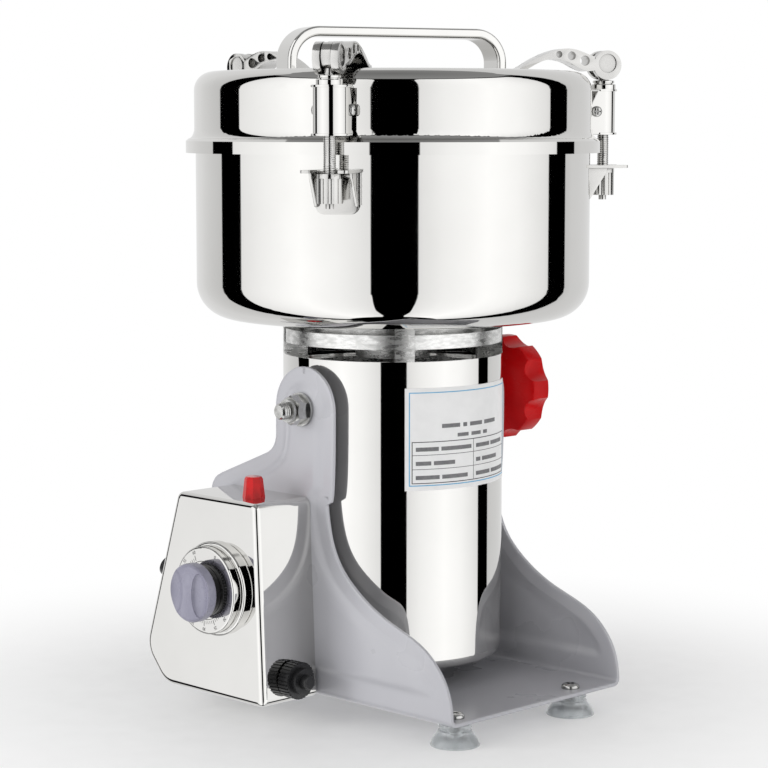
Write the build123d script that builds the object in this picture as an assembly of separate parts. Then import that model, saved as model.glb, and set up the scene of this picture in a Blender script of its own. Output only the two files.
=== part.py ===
from build123d import *
import os
from math import cos, radians, sin

os.makedirs("parts", exist_ok=True)

# A swing-type high-speed grinding mill: a bowl with a clamped lid on a motor barrel that is
# hung between the two arms of a pressed-steel cradle, with a control box on one arm.
# Millimetres. +Z is up, -Y is the open front of the cradle, -X is the control box side.
# Everything is drawn about the barrel's axis; save() then moves the origin to the middle of
# the footprint, at the underside of the feet.

# ---- running clearances ----
RUN = 0.05            # radial clearance of a shaft or pin that turns in its bore
SLIP = 0.15           # clearance of a loose hole over a rod or screw
SEAT = 0.3            # rest gap between pieces that only meet when pressed together

# ---- cradle and feet ----
FOOT_H = 11.0
FOOT_R = 12.0
FOOT_X = (-50.0, 34.0)
FOOT_Y = (-92.0, 70.0)
SHEET = 2.0           # cradle sheet thickness
ARM_GAP = 4.0         # between the barrel and each arm
PLATE_FRONT = 101.0
PLATE_BACK = 84.0
PANEL = 1.5           # height of the pressed panel on each arm
PANEL_RIM = 7.0       # flat rim left around the pressed panel
BEND_R = 4.0
PANEL_FOOT = 14.0     # the panel stops this far above the underside
TAB_R = 21.0          # round top of each arm
SHOULDER_R = 11.0

# ---- control box ----
BOX_W = 35.5
BOX_H = 100.0
BOX_WALL = 1.2
BOX_EDGE = 3.0
TIMER_Y = 23.5
TIMER_H = 55.2
BEZEL_R = 21.8
BEZEL_BASE_R = 23.4
BEZEL_T = 8.5
KNOB_R = 14.5
KNOB_T = 6.7
KNOB_SKIRT_R = 12.6
KNOB_SKIRT_T = 4.2
TIMER_SHAFT_R = 3.0
LAMP_Y = 14.0
LAMP_H = 10.3
LAMP_R = 5.6
RESET_H = 12.0
RESET_R = 9.2
RESET_BUTTON_R = 3.5
RESET_TRAVEL = 3.0
GLAND_BORE_R = 3.6
GLAND_H = 52.0
GLAND_L = 20.0

# ---- tilt pivots and lock knob ----
PIVOT_R = 4.0         # M8
LOCK_R = 27.5
LOCK_LOBES = 8
LOCK_DEPTH = 20.0

# ---- motor ----
BARREL_R = 56.0
BARREL_L = 154.5
BARREL_WALL = 1.5
BARREL_BOTTOM = 13.0  # above the cradle's underside
BARREL_EDGE = 5.0
PIVOT_DROP = 24.3     # tilt pivot below the barrel's top
SHAFT_R = 5.0
BEARING_R = 15.0
BEARING_W = 9.0
CORE_R = 24.0
AIR_GAP = 0.6
COMMUTATOR_R = 14.0

# ---- neck, bowl and lid ----
NECK_H = 18.2
BOWL_R = 99.6
BOWL_H = 87.3
BOWL_EDGE = 18.0
BOWL_WALL = 1.2
BEAD = 2.8            # the rolled rim stands out this far
SKIRT_GAP = 2.1       # from the rolled rim to the outside of the lid's skirt
LID_H = 36.1          # the lid's top above the bowl's rim
LID_EDGE = 9.5
LID_WALL = 1.2
SHAFT_UP = 46.3       # shaft above the bowl's underside
BOWL_SCREW_AT = 36.0
BOWL_SCREW_R = 2.5

# ---- lid handle ----
HANDLE_L = 120.0
HANDLE_W = 18.0
HANDLE_T = 5.0
HANDLE_H = 22.0
HANDLE_CORNER = 17.0
HANDLE_TURN = -20.8

# ---- clamps ----
CLAMP_TURNS = (-150.0, -30.0, 90.0)
HINGE_OUT = 5.8       # swing screws, outward from the lid's side
HINGE_DOWN = 19.7     # and below its top
ROD_OUT = 8.2         # clamp rod, outward from the lid's skirt
ROD_R = 2.75
HOUSING_W = 17.0
HOUSING_WALL = 1.2
PIN_UP = 4.9          # cam pin above the lid's top
PIN_R = 4.8
EYE_R = 7.5           # outside of the lever's eye
EYE_T = 3.5
FORK_GAP = 5.3
CAM_OFFSET = 0.9      # eccentricity of the lever's eye
LEVER_TIP = -50.5     # end of the lever, inward from its pin
NUT_R = 6.0
NUT_L = 13.7
EAR_DROP = 11.0       # ear plate below the bowl's rim
EAR_T = 1.5
EAR_W = 23.3
EAR_H = 21.0

# ---- places worked out from the sizes above ----
Z0 = FOOT_H
ARM_X = BARREL_R + ARM_GAP + SHEET
BARREL_TOP = BARREL_BOTTOM + BARREL_L
PIVOT_H = BARREL_TOP - PIVOT_DROP
SHOULDER = ((21.0, PIVOT_H - 21.7), (70.0, PIVOT_H - 41.2))   # Y and height of its two ends
CORE_Z = (BARREL_BOTTOM + 57.0, BARREL_TOP - 37.5)
NECK_R = BARREL_R - 0.5
BOWL_BOTTOM = BARREL_TOP + NECK_H
RIM_Z = BOWL_BOTTOM + BOWL_H
BOWL_BEAD_R = BOWL_R + BEAD
SKIRT_R = BOWL_BEAD_R + SKIRT_GAP
SKIRT_Z = (RIM_Z - 4.3, RIM_Z + 2.8)
LID_R = BOWL_R + 0.6
LID_TOP = RIM_Z + LID_H
SHAFT_TOP = BOWL_BOTTOM + SHAFT_UP
HANDLE_TOP = LID_TOP + HANDLE_H
HINGE_R = LID_R + HINGE_OUT
HINGE_Z = LID_TOP - HINGE_DOWN
ROD_AT = SKIRT_R + ROD_OUT
HOUSING_Z = (HINGE_Z - 11.9, HINGE_Z + 11.5)
HOUSING_OUT = ROD_AT + 5.9
PIN_Z = LID_TOP + PIN_UP
EAR_Z = RIM_Z - EAR_DROP
EAR_OUT = ROD_AT + 10.3
NUT_Z = (EAR_Z - EAR_T - SEAT - NUT_L, EAR_Z - EAR_T - SEAT)
BOX_IN = ARM_X + PANEL
BOX_OUT = BOX_IN + BOX_W
KNOB_FACE = BOX_OUT + BEZEL_T + KNOB_SKIRT_T + KNOB_T
BARREL_IN = BARREL_R - BARREL_WALL
LOCK_OUT = ARM_X + PANEL + 8.5 + LOCK_DEPTH
SIDE_TURN = radians(CLAMP_TURNS[1])
CLAMP_REACH = EAR_OUT * cos(SIDE_TURN) - EAR_W / 2 * sin(SIDE_TURN)
AXIS_X = (KNOB_FACE - CLAMP_REACH) / 2
AXIS_Y = (SKIRT_R - EAR_OUT) / 2
SADDLE_TOP = PIN_Z - EYE_R - CAM_OFFSET - SEAT
HEAD_HALF = FORK_GAP / 2 - 0.45
LOW = (Align.CENTER, Align.CENTER, Align.MIN)


# ---- drawing helpers; heights are above the cradle's underside ----
def disc(radius, low, high):
    return Pos(0, 0, Z0 + low) * Cylinder(radius, high - low, align=LOW)


def tube(outer, inner, low, high):
    return disc(outer, low, high) - disc(inner, low, high)


def block(x, y, z):
    middle = ((x[0] + x[1]) / 2, (y[0] + y[1]) / 2, Z0 + (z[0] + z[1]) / 2)
    return Pos(*middle) * Box(x[1] - x[0], y[1] - y[0], z[1] - z[0])


def bar_x(radius, x, y, z):
    return Pos(x[0], y, Z0 + z) * Rot(0, 90, 0) * Cylinder(radius, x[1] - x[0], align=LOW)


def bar_y(radius, y, x, z):
    return Pos(x, y[0], Z0 + z) * Rot(-90, 0, 0) * Cylinder(radius, y[1] - y[0], align=LOW)


def side_plate(outline, x):
    """Stands a (Y, height) outline up between two X values."""
    return Pos(x[0], 0, Z0) * extrude(Plane.YZ * outline, x[1] - x[0])


def turned(outline):
    """Turns an (X, height) half outline about the barrel's axis."""
    return Pos(0, 0, Z0) * revolve(Plane.XZ * outline, Axis.Z)


def wedge(inner, outer, angle, half, low, high):
    """A sector of a ring about the barrel's axis."""
    arc_out = CenterArc((0, 0), outer, angle - half, 2 * half)
    arc_in = CenterArc((0, 0), inner, angle - half, 2 * half)
    sides = [Line(arc_in @ end, arc_out @ end) for end in (0, 1)]
    face = make_face([arc_out, arc_in] + sides)
    return Pos(0, 0, Z0 + low) * extrude(face, high - low)


def at_clamp(shape, turn):
    return Rot(0, 0, turn) * shape


def save(name, *solids):
    group = solids[0] if len(solids) == 1 else Compound(list(solids))
    export_step(group.moved(Location((AXIS_X, AXIS_Y, 0))), f"parts/{name}.step")


# ---- cradle ----
def inset_curve(curve, inset, start, end, count=9):
    """A spline that follows a stretch of a curve, moved to its right by the inset."""
    points = []
    for n in range(count):
        along = start + (end - start) * n / (count - 1)
        tangent = curve % along
        points.append(curve @ along + Vector(tangent.Y, -tangent.X) * inset)
    return Spline(*points)


def arm_front():
    """The front edge of an arm: low toe, waist below the pivot, side of the round top."""
    toe = [(-PLATE_FRONT, 0), (-0.96 * PLATE_FRONT, 20)]
    sweep = [(-84, 34.3), (-56.4, 46), (-32.9, 60.1), (-18.5, 82), (-15.6, 105)]
    return Spline(*toe, *sweep, (-TAB_R, PIVOT_H), tangents=[(0, 1), (0, 1)])


def arm_back(inset, end):
    """The back edge, from the round top over a sloping shoulder down to a height."""
    top = (TAB_R - inset, PIVOT_H)
    armpit = (TAB_R - inset, SHOULDER[0][1] - 0.68 * inset)
    corner = (SHOULDER[1][0] - 1.2 * inset, SHOULDER[1][1] - 0.6 * inset)
    foot_y = PLATE_BACK - inset - (PLATE_BACK - SHOULDER[1][0]) * end / SHOULDER[1][1]
    return FilletPolyline(top, armpit, corner, (foot_y, end), radius=SHOULDER_R)


def arm_outline():
    front, back = arm_front(), arm_back(0, 0)
    top = CenterArc((0, PIVOT_H), TAB_R, 0, 180)
    foot = Line((PLATE_BACK, 0), (-PLATE_FRONT, 0))
    return make_face([front, top, back, foot])


def panel_outline(inset):
    """The pressed panel: the arm's outline drawn in by the inset, and stopped above the bend."""
    near = inset_curve(arm_front(), inset, 0.17, 1.0)
    far = arm_back(inset, PANEL_FOOT)
    top = CenterArc((0, PIVOT_H), TAB_R - inset, 0, 180)
    return make_face([near, top, far, Line(far @ 1, near @ 0)])


def channel_section():
    """The cradle's section across X: a plate and two arms with rounded bends."""
    top = PIVOT_H + TAB_R
    outer, inner = ARM_X, ARM_X - SHEET
    out = FilletPolyline((-outer, top), (-outer, 0), (outer, 0), (outer, top), radius=BEND_R)
    into = FilletPolyline((inner, top), (inner, SHEET), (-inner, SHEET), (-inner, top),
                          radius=BEND_R - SHEET)
    return make_face([out, into, Line(out @ 1, into @ 0), Line(into @ 1, out @ 0)])


def make_cradle():
    section = Plane.XZ * channel_section()
    channel = Pos(0, 0, Z0) * extrude(section, 2 * (PLATE_FRONT + PLATE_BACK), both=True)
    body = channel & side_plate(arm_outline(), (-ARM_X - 1, ARM_X + 1))
    for side in (-1, 1):
        panel = sorted((side * (ARM_X + PANEL), side * ARM_X))
        dent = sorted((side * (ARM_X - SHEET + PANEL), side * (ARM_X - SHEET)))
        body += side_plate(panel_outline(PANEL_RIM), panel)
        body -= side_plate(panel_outline(PANEL_RIM + SHEET), dent)
    body -= bar_x(PIVOT_R + RUN, (-2 * ARM_X, 2 * ARM_X), 0, PIVOT_H)
    for x in FOOT_X:
        for y in FOOT_Y:
            body -= Pos(x, y, 0) * disc(2.5 + SLIP, -1, SHEET + 1)
    save("cradle", body)


def make_feet():
    feet, screws = [], []
    cup = make_face(Polyline((3, 3), (3, FOOT_H), (8, FOOT_H), (FOOT_R - 1.5, FOOT_H / 2),
                             (FOOT_R, 0), (FOOT_R - 2.5, 0), (3, 3), close=True))
    for x in FOOT_X:
        for y in FOOT_Y:
            feet.append(Pos(x, y, 0) * revolve(Plane.XZ * cup, Axis.Z))
            head = Pos(x, y, SHEET) * disc(4.6, 0, 2.4)
            head = fillet(head.edges().sort_by(Axis.Z)[-1], 1.8)
            slots = Pos(x, y, Z0 + SHEET + 2.4) * (Box(5, 1, 2) + Box(1, 5, 2))
            screws.append(head - slots + Pos(x, y, 0) * disc(2.5, -FOOT_H + 4, SHEET))
    save("suction_feet", *feet)
    save("foot_screws", *screws)


# ---- control box ----
BOX_CORNERS = ((-5.3, BOX_H), (54.2, BOX_H), (80.8, 17.0), (66.0, 0), (-9.9, 0))
BOX_SLOPE = (BOX_CORNERS[2][0] - BOX_CORNERS[1][0]) / (BOX_H - BOX_CORNERS[2][1])


def box_back(height):
    """Y of the box's sloping back at a height."""
    return BOX_CORNERS[1][0] + BOX_SLOPE * (BOX_H - height)


def box_front(height):
    low, high = BOX_CORNERS[4][0], BOX_CORNERS[0][0]
    return low + (high - low) * height / BOX_H


def box_outline():
    face = make_face(Polyline(*BOX_CORNERS, close=True))
    corners = face.vertices()
    lower_back = [v for v in corners if v.X > 60]
    face = fillet(lower_back, 14.0)
    rest = [v for v in face.vertices() if v.X < 60 and (v.Y > 90 or v.X < 0)]
    return fillet(rest, BOX_EDGE + 1)


def gland_frame():
    """Along the outward normal of the sloping back, at the gland."""
    z_dir = (0, 1, BOX_SLOPE)
    origin = (-(BOX_IN + BOX_W / 2), box_back(GLAND_H), Z0 + GLAND_H)
    return Plane(origin=origin, x_dir=(1, 0, 0), z_dir=z_dir)


def make_control_box():
    outline = box_outline()
    body = side_plate(outline, (-BOX_OUT, -BOX_IN))
    outer = [e for e in body.edges() if abs(e.center().X + BOX_OUT) < 0.01]
    body = fillet(outer, BOX_EDGE)
    body -= side_plate(offset(outline, -BOX_WALL), (-BOX_OUT + BOX_WALL, -BOX_IN))
    body -= bar_x(8.0, (-BOX_OUT - 1, -BOX_OUT + 3), TIMER_Y, TIMER_H)
    lamp_x = -(BOX_IN + BOX_W * 0.55)
    body -= Pos(lamp_x, LAMP_Y, 0) * disc(3.5, BOX_H - 4, BOX_H + 4)
    body -= bar_y(5.2, (-14, 0), -(BOX_IN + BOX_W * 0.47), RESET_H)
    body -= gland_frame() * Cylinder(5.6, 12)
    save("control_box", body)

    lens_base = RegularPolygon(LAMP_R, 8)
    lens_top = Pos(0, 0, LAMP_H - 1.2) * RegularPolygon(LAMP_R * 0.82, 8)
    cap_top = Pos(0, 0, LAMP_H) * RegularPolygon(LAMP_R * 0.68, 8)
    lens = loft([lens_base, lens_top]) + loft([lens_top, cap_top])
    save("lamp_lens", Pos(lamp_x, LAMP_Y, Z0 + BOX_H) * lens)
    holder = disc(3.4, BOX_H - 16, BOX_H) + disc(5.2, BOX_H - 6, BOX_H - BOX_WALL)
    save("lamp_holder", Pos(lamp_x, LAMP_Y, 0) * holder)


def make_timer():
    ring = bar_x(BEZEL_BASE_R, (-BOX_OUT - 3.2, -BOX_OUT), TIMER_Y, TIMER_H)
    ring = fillet(ring.faces().sort_by(Axis.X)[0].edges(), 1.2)
    dial = bar_x(BEZEL_R, (-BOX_OUT - BEZEL_T, -BOX_OUT), TIMER_Y, TIMER_H)
    dial = fillet(dial.faces().sort_by(Axis.X)[0].edges(), 1.0)
    groove = (bar_x(BEZEL_R + 0.1, (-BOX_OUT - 5.4, -BOX_OUT - 4.6), TIMER_Y, TIMER_H)
              - bar_x(BEZEL_R - 0.6, (-BOX_OUT - 5.4, -BOX_OUT - 4.6), TIMER_Y, TIMER_H))
    bore = bar_x(TIMER_SHAFT_R + RUN, (-BOX_OUT - 20, -BOX_OUT + 5), TIMER_Y, TIMER_H)
    save("timer_bezel", ring + dial - groove - bore)

    inside = -BOX_OUT + BOX_WALL
    works = (bar_x(22.0, (inside, inside + 22), TIMER_Y, TIMER_H)
             + bar_x(7.8, (inside - BOX_WALL, inside), TIMER_Y, TIMER_H))
    works -= bar_x(TIMER_SHAFT_R + RUN, (inside - 3, inside + 6), TIMER_Y, TIMER_H)
    save("timer_works", works)

    dial_face = -BOX_OUT - BEZEL_T
    skirt_in = dial_face - 0.2
    skirt_out = dial_face - KNOB_SKIRT_T
    skirt = bar_x(KNOB_SKIRT_R, (skirt_out, skirt_in), TIMER_Y, TIMER_H)
    skirt += bar_x(TIMER_SHAFT_R, (skirt_in, inside + 4), TIMER_Y, TIMER_H)
    save("timer_shaft", skirt)

    knob = bar_x(KNOB_R, (skirt_out - KNOB_T, skirt_out), TIMER_Y, TIMER_H)
    knob = fillet(knob.faces().sort_by(Axis.X)[0].edges(), 2.2)
    knob = fillet(knob.faces().sort_by(Axis.X)[-1].edges(), 0.8)
    for side in (-1, 1):
        scoop = Pos(skirt_out - KNOB_T, TIMER_Y + side * 9.0, Z0 + TIMER_H)
        knob -= scoop * scale(Sphere(7.0), by=(0.42, 0.85, 1.6))
    save("timer_knob", knob)


def make_reset():
    x = -(BOX_IN + BOX_W * 0.47)
    back = box_front(0) + 0.05
    ring = bar_y(RESET_R, (back - 6.5, back), x, RESET_H)
    notch = Pos(x, back - 6.5, Z0 + RESET_H) * Rot(-90, 0, 0) * Box(0.7, 1.0, 14)
    for n in range(30):
        turn = Pos(x, 0, Z0 + RESET_H) * Rot(0, 12 * n, 0) * Pos(-x, 0, -Z0 - RESET_H)
        ring -= turn * Pos(0, 0, RESET_R) * notch
    front = bar_y(6.4, (back - 9.5, back - 6.5), x, RESET_H)
    stem = bar_y(5.0, (back, back + 13), x, RESET_H)
    body = ring + front + stem
    button = (back - 13.5, back + 2.0)
    body -= bar_y(RESET_BUTTON_R + RUN, (back - 10, back + 2.0 + RESET_TRAVEL + 0.3), x, RESET_H)
    save("reset_housing", body)
    plunger = bar_y(RESET_BUTTON_R, button, x, RESET_H)
    plunger = fillet(plunger.faces().sort_by(Axis.Y)[0].edges(), 0.8)
    save("reset_button", plunger)


def make_gland():
    frame = gland_frame()
    outside = GLAND_L - 6
    profile = make_face(Polyline((GLAND_BORE_R, -6), (5.5, -6), (5.5, 0), (9, 0), (9, 3),
                                 (7, 5), (5.6, outside), (GLAND_BORE_R, outside), close=True))
    save("cord_gland", frame * revolve(Plane.XZ * profile, Axis.Z))
    inner = -BOX_IN - 4
    low, high = BOX_H - 18, BOX_H - 6
    base = block((inner - 10, inner), (20, 52), (low, high))
    for n in range(4):
        base -= Pos(inner - 5, 24 + 8 * n, 0) * disc(1.6, low + 6, high + 1)
    shelf = block((inner, -BOX_IN), (18, 54), (low - 2, high))
    save("terminal_block", base, shelf)


# ---- tilt pivots ----
def make_pivots():
    bushes, bolt_x = [], BARREL_R - 12
    for side in (-1, 1):
        inner, outer = sorted((side * bolt_x, side * (ARM_X - SHEET - 0.3)))
        bush = bar_x(9.0, (inner, outer), 0, PIVOT_H)
        bush -= bar_x(PIVOT_R + (RUN if side > 0 else 0), (inner - 1, outer + 1), 0, PIVOT_H)
        bushes.append(bush)
    save("pivot_bushes", *bushes)

    end = -(BOX_IN + 15.5)
    bolt = bar_x(PIVOT_R, (end, -bolt_x), 0, PIVOT_H)
    bolt = chamfer(bolt.faces().sort_by(Axis.X)[0].edges(), 0.8)
    washer_x = (-BOX_IN - 1.8, -BOX_IN - 0.2)
    washer = bar_x(8.4, washer_x, 0, PIVOT_H) - bar_x(PIVOT_R, washer_x, 0, PIVOT_H)
    nut_x = (washer_x[0] - 6.5, washer_x[0])
    prism = RegularPolygon(13 / 2 / cos(radians(30)), 6)
    nut = Pos(nut_x[0], 0, Z0 + PIVOT_H) * Rot(0, 90, 0) * extrude(prism, nut_x[1] - nut_x[0])
    cone = bar_x(7.4, nut_x, 0, PIVOT_H)
    nut = nut & chamfer(cone.faces().sort_by(Axis.X)[0].edges(), 0.9)
    nut += bar_x(5.7, (nut_x[0] - 2, nut_x[0]), 0, PIVOT_H)
    nut -= bar_x(PIVOT_R, (nut_x[0] - 3, nut_x[1]), 0, PIVOT_H)
    save("pivot_fasteners", bolt, washer, nut)


def make_lock_knob():
    near = ARM_X + PANEL + 0.2
    stud = bar_x(PIVOT_R, (BARREL_R - 12, near + 14), 0, PIVOT_H)
    save("lock_stud", stud)
    far = LOCK_OUT
    hub = make_face([
        Polyline((0, near), (11, near), (11, near + 6)),
        Spline((11, near + 6), (20, near + 10), (LOCK_R - 0.5, near + 15)),
        Polyline((LOCK_R - 0.5, near + 15), (LOCK_R, near + 17), (LOCK_R, far - 2.5)),
        Spline((LOCK_R, far - 2.5), (LOCK_R - 3, far - 0.6), (16, far)),
        Polyline((16, far), (0, far), (0, near))])
    knob = Pos(0, 0, Z0 + PIVOT_H) * Rot(0, 90, 0) * revolve(Plane.XZ * hub, Axis.Z)
    for n in range(LOCK_LOBES):
        angle = radians(360 / LOCK_LOBES * (n + 0.5))
        y, z = (LOCK_R + 5.2) * cos(angle), (LOCK_R + 5.2) * sin(angle)
        knob -= bar_x(8.5, (near + 9, far + 5), y, PIVOT_H + z)
    knob -= bar_x(PIVOT_R, (near - 1, near + 14), 0, PIVOT_H)
    save("lock_knob", knob)


# ---- motor ----
def make_barrel():
    r, wall, low, edge = BARREL_R, BARREL_WALL, BARREL_BOTTOM, BARREL_EDGE
    outer = FilletPolyline((r, BARREL_TOP), (r, low), (r - 12, low), radius=edge)
    inner = FilletPolyline((r - 12, low + wall), (r - wall, low + wall), (r - wall, BARREL_TOP),
                           radius=edge - wall)
    ends = [Line(outer @ 1, inner @ 0), Line(inner @ 1, outer @ 0)]
    body = turned(make_face([outer, inner] + ends))
    body -= bar_x(9.0, (-r - 1, r + 1), 0, PIVOT_H)
    save("motor_barrel", body)

    plate_z = (29.0, 33.0)
    cover_z = (low + wall, low + wall + 3.0)
    cover = disc(r - wall - 4, *cover_z)
    for n in range(12):
        slot = Pos(r - 26, 0, Z0 + cover_z[0]) * Box(22, 4.5, 20)
        cover -= Rot(0, 0, 30 * n + 15) * slot
    for n in range(3):
        post = Pos(r - 9.5, 0, 0) * disc(2.5, cover_z[1], plate_z[0])
        cover += Rot(0, 0, 120 * n + 30) * post
    save("bottom_cover", cover)

    hub = disc(BEARING_R + 3, 26, 40)
    bracket = hub
    for n in range(4):
        leg = block((10, r - 13), (-7, 7), plate_z)
        bracket += Rot(0, 0, 90 * n) * leg
    bracket += tube(BARREL_IN, r - 14, *plate_z)
    bracket -= disc(BEARING_R, 40 - BEARING_W, 41) + disc(SHAFT_R + 3, 20, 41)
    save("lower_bracket", bracket)


def make_stator():
    ring = tube(BARREL_IN - 0.1, 37, *CORE_Z)
    for n in range(4):
        flat = block((BARREL_R - 7, BARREL_R + 5), (-40, 40), (CORE_Z[0] - 1, CORE_Z[1] + 1))
        ring -= Rot(0, 0, 90 * n + 45) * flat
    for side in (0, 180):
        ring += wedge(CORE_R + AIR_GAP, 38, side, 38, *CORE_Z)
    save("stator_core", ring)
    coils = []
    for side in (0, 180):
        coil = wedge(28, 36.5, side, 62, CORE_Z[0] - 8, CORE_Z[1] + 8)
        coils.append(coil - wedge(26, 38, side, 39.5, CORE_Z[0] - 0.1, CORE_Z[1] + 0.1))
    save("field_coils", *coils)

    holders, brushes = [], []
    for side in (0, 180):
        holder = block((19, 40), (-6, 6), (45, 59)) + block((34, 40), (-6, 6), (33, 45))
        near = COMMUTATOR_R + SLIP
        slot = block((near, 38), (-3.5, 3.5), (47, 57))
        holders.append(Rot(0, 0, side + 90) * (holder - slot))
        brushes.append(Rot(0, 0, side + 90) * block((near, 34), (-3.4, 3.4), (47.1, 56.9)))
    save("brush_holders", *holders)
    save("carbon_brushes", *brushes)


def make_rotor():
    shaft = disc(SHAFT_R, 25, SHAFT_TOP) + disc(SHAFT_R + 2, 41.5, BARREL_TOP - 2)
    save("rotor_shaft", shaft)
    bore = SHAFT_R + 2
    core = tube(CORE_R, bore, *CORE_Z)
    for n in range(12):
        core -= Rot(0, 0, 30 * n) * block((CORE_R - 5, CORE_R + 1), (-1, 1), CORE_Z)
    save("armature_core", core)
    ends = []
    for low, high in ((CORE_Z[0] - 8, CORE_Z[0]), (CORE_Z[1], CORE_Z[1] + 9)):
        coil = tube(CORE_R - 3, bore, low, high)
        outer = [e for e in coil.edges().filter_by(GeomType.CIRCLE) if e.radius > CORE_R - 4]
        ends.append(fillet(outer, 3.0))
    save("armature_windings", *ends)
    commutator = tube(COMMUTATOR_R, bore, 44, 61)
    for n in range(24):
        gap = block((COMMUTATOR_R - 0.8, COMMUTATOR_R + 1), (-0.25, 0.25), (43, 60))
        commutator -= Rot(0, 0, 15 * n) * gap
    save("commutator", commutator)
    low, reach = BARREL_TOP - 22.5, BARREL_R - 14
    fan = tube(SHAFT_R + 6, bore, low, low + 15) + tube(reach, bore, low, low + 1.5)
    for n in range(9):
        vane = block((SHAFT_R + 6, reach - 1), (-0.7, 0.7), (low + 1, low + 14))
        fan += Rot(0, 0, 40 * n + 20) * vane
    save("cooling_fan", fan)


def bearing(low):
    """Outer ring, inner ring and shield of one ball bearing."""
    high = low + BEARING_W
    outer = tube(BEARING_R, BEARING_R - 3.2, low, high)
    inner = tube(SHAFT_R + 2.4, SHAFT_R, low, high)
    shields = tube(BEARING_R - 3.2, SHAFT_R + 2.5, low + 0.6, low + 1.2)
    shields += tube(BEARING_R - 3.2, SHAFT_R + 2.5, high - 1.2, high - 0.6)
    return outer + shields, inner


def make_bearings():
    low_outer, low_inner = bearing(31)
    top_outer, top_inner = bearing(BARREL_TOP - 1)
    save("bearing_outer_rings", low_outer, top_outer)
    save("bearing_inner_rings", low_inner, top_inner)


def bowl_screw_place(n):
    return Rot(0, 0, 90 * n + 6) * Pos(BOWL_SCREW_AT, 0, 0)


def make_neck():
    low, high = BARREL_TOP, BOWL_BOTTOM
    inside = BARREL_R - 9
    body = disc(inside, low + 7, high)
    body += disc(NECK_R, low + 6, low + 13)
    body += tube(BARREL_IN, inside, low - 10, low - 6.5) + disc(BEARING_R + 4, low - 2, high)
    for n in range(4):
        lug = wedge(inside - 3, BARREL_R, 51 + 90 * n, 5, low, high)
        lug += wedge(inside - 3, BARREL_IN, 51 + 90 * n, 5, low - 10, low + 7)
        body += lug
    body -= disc(BEARING_R, low - 3, low - 1 + BEARING_W) + disc(SHAFT_R + 2.5, low, high + 1)
    for n in range(4):
        body -= bowl_screw_place(n) * disc(BOWL_SCREW_R, low, high + 1)
    save("neck_casting", body)
    screws = []
    for n in range(4):
        seat = high + BOWL_WALL
        screw = disc(BOWL_SCREW_R, low + 7, seat) + disc(BOWL_SCREW_R + 2, seat, seat + 2.5)
        screws.append(bowl_screw_place(n) * screw)
    save("bowl_screws", *screws)


def make_bowl():
    r, wall, low, edge = BOWL_R, BOWL_WALL, BOWL_BOTTOM, BOWL_EDGE
    bead = BOWL_BEAD_R
    outer = FilletPolyline((0, low), (r, low), (r, RIM_Z - 3), radius=edge)
    inner = FilletPolyline((r - wall, RIM_Z), (r - wall, low + wall), (0, low + wall),
                           radius=edge - wall)
    rim = Polyline((r, RIM_Z - 3), (bead - 0.8, RIM_Z - 3), (bead, RIM_Z - 2.2), (bead, RIM_Z - 0.8),
                   (bead - 0.8, RIM_Z), (r - wall, RIM_Z))
    body = turned(make_face([outer, rim, inner, Line((0, low + wall), (0, low))]))
    body -= disc(14, low - 1, low + wall + 1)
    for n in range(4):
        body -= bowl_screw_place(n) * disc(BOWL_SCREW_R, low - 1, low + 3)
    save("grinding_bowl", body)
    seal = tube(14, SHAFT_R + RUN, low, low + 5) + tube(17, SHAFT_R + RUN, low + wall, low + 4)
    save("shaft_seal", seal)


def make_blades():
    """Two-armed cutters, stacked on the shaft and spaced by collars."""
    base = BOWL_BOTTOM
    stack = (("lower_blade", BOWL_R - 13.6, 14, 9, -4, 20),
             ("middle_blade", BOWL_R - 29.6, 16, 19, 0, 80),
             ("upper_blade", BOWL_R - 41.6, 16, 29, 6, 140))
    for name, reach, width, lift, tip, turn in stack:
        blank = make_face(Polyline((-reach, -2), (-reach + 6, -width / 2), (0, -width / 2),
                                   (reach, 2), (reach - 6, width / 2), (0, width / 2), close=True))
        blade = Pos(0, 0, Z0 + base + lift) * extrude(blank, 2.5)
        for side in (0, 180):
            corner = Pos(reach - 4, 4.5, 0) * Box(12, 5, 8)
            bevel = Pos(0, 0, Z0 + base + lift + 2.5) * corner
            blade -= Rot(0, 0, side) * Pos(0, 0, 3) * bevel
            if tip:
                low, high = sorted((lift + 1.25, lift + 1.25 + tip))
                wing = block((reach - 20, reach - 17.5), (-3, 3), (base + low, base + high))
                blade += Rot(0, 0, side) * wing
        blade -= disc(SHAFT_R, base + lift - 6, base + lift + 12)
        save(name, Rot(0, 0, turn) * blade)
    collars = [tube(SHAFT_R + 4, SHAFT_R, base + a, base + b)
               for a, b in ((5.5, 9), (11.5, 19), (21.5, 29))]
    save("blade_collars", *collars)
    nut = Pos(0, 0, Z0 + base + 31.5) * extrude(RegularPolygon(SHAFT_R + 4, 6), 8)
    nut += disc(SHAFT_R + 3, base + 39.5, base + 42)
    save("blade_nut", nut - disc(SHAFT_R, base + 30, SHAFT_TOP))


def make_nameplate():
    skin = wedge(BARREL_R, BARREL_R + 0.25, -90, 39, BARREL_TOP - 63.5, BARREL_TOP - 12.9)
    save("nameplate", skin)


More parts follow.
